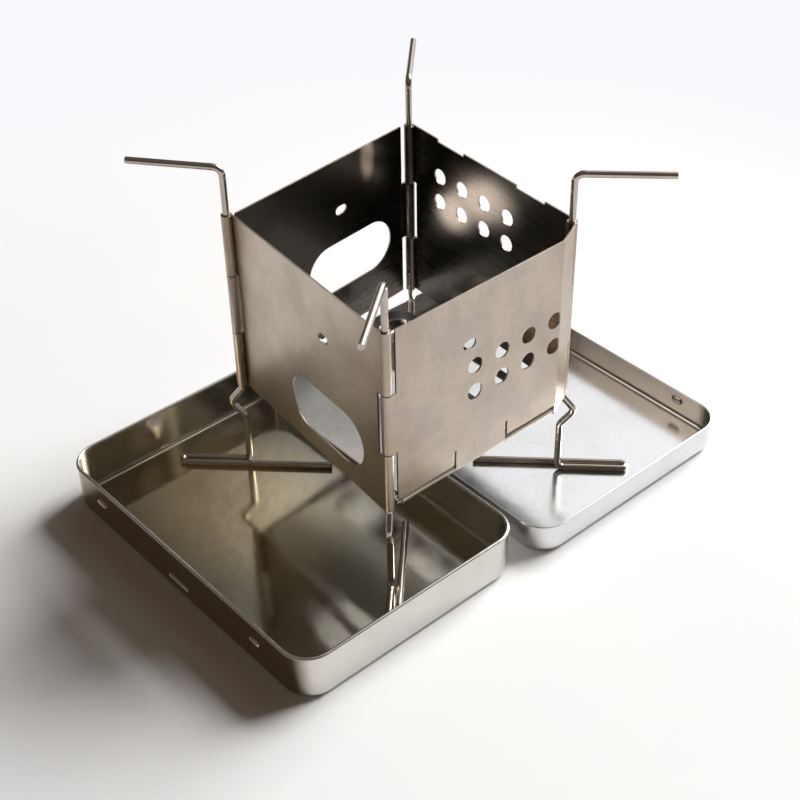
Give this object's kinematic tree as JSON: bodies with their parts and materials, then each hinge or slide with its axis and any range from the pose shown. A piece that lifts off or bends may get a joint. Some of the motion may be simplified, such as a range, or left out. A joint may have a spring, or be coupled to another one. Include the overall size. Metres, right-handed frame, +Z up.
{
  "type": "folding backpacking wood stove",
  "caption": "Folding sheet-steel backpacking wood stove with bent corner wires, standing in the two halves of its flat case.",
  "frame": {"origin": "on the ground, at the middle of the two case halves' joint footprint", "axes": "+X along the long sides of the case halves, towards the wall that carries the fire floor; +Y from the deep case half to the shallow one; +Z up"},
  "size_m": [0.117, 0.1668, 0.106],
  "materials": {
    "wall_steel": "brushed, faintly heat tinted",
    "floor_steel": "brushed",
    "wire_steel": "drawn wire, satin",
    "case_steel": "fine satin"
  },
  "bodies": {
    "right_wall": {"panel_right": "wall_steel", "floor_pin": "wire_steel"},
    "front_wall": {"panel_front": "wall_steel"},
    "back_wall": {"panel_back": "wall_steel"},
    "left_wall": {"panel_left": "wall_steel"},
    "floor": {"floor_plate": "floor_steel"},
    "post_front_right": {"wire_front_right": "wire_steel"},
    "post_front_left": {"wire_front_left": "wire_steel"},
    "post_back_right": {"wire_back_right": "wire_steel"},
    "post_back_left": {"wire_back_left": "wire_steel"},
    "base_tray": {"case_base": "case_steel"},
    "lid_tray": {"case_lid": "case_steel"}
  },
  "joints": [
    {"name": "fold_front", "type": "hinge", "parent": "right_wall", "child": "front_wall", "pos_m": [0.03741, -0.03706, 0.0308], "axis": [0, 0, 1], "range_deg": [0, 9]},
    {"name": "fold_back", "type": "hinge", "parent": "right_wall", "child": "back_wall", "pos_m": [0.03327, 0.03482, 0.0308], "axis": [0, 0, 1], "range_deg": [0, 9]},
    {"name": "fold_left", "type": "hinge", "parent": "back_wall", "child": "left_wall", "pos_m": [-0.03861, 0.03896, 0.0308], "axis": [0, 0, 1], "range_deg": [-9, 0]},
    {"name": "floor_hinge", "type": "hinge", "parent": "right_wall", "child": "floor", "pos_m": [0.03759, -0.00356, 0.03215], "axis": [-0.0006, 1, 0], "range_deg": [0, 88]},
    {"name": "turn_front_right", "type": "hinge", "parent": "right_wall", "child": "post_front_right", "pos_m": [0.03741, -0.03706, 0.0308], "axis": [0, 0, 1], "range_deg": [-75, 0]},
    {"name": "turn_front_left", "type": "hinge", "parent": "front_wall", "child": "post_front_left", "pos_m": [-0.03447, -0.03292, 0.0308], "axis": [0, 0, 1], "range_deg": [-180, 95]},
    {"name": "turn_back_right", "type": "hinge", "parent": "right_wall", "child": "post_back_right", "pos_m": [0.03327, 0.03482, 0.0308], "axis": [0, 0, 1], "range_deg": [-180, 105]},
    {"name": "turn_back_left", "type": "hinge", "parent": "left_wall", "child": "post_back_left", "pos_m": [-0.03861, 0.03896, 0.0308], "axis": [0, 0, 1], "range_deg": [-75, 0]},
    {"name": "base_off", "type": "slide", "parent": "right_wall", "child": "base_tray", "axis": [0, 0, -1], "range_m": [0, 0.04]},
    {"name": "lid_off", "type": "slide", "parent": "right_wall", "child": "lid_tray", "axis": [0, 0, -1], "range_m": [0, 0.04]}
  ],
  "couplings": [
    {"joint": "fold_back", "follows": "fold_front", "ratio": 1},
    {"joint": "fold_left", "follows": "fold_front", "ratio": -1}
  ]
}
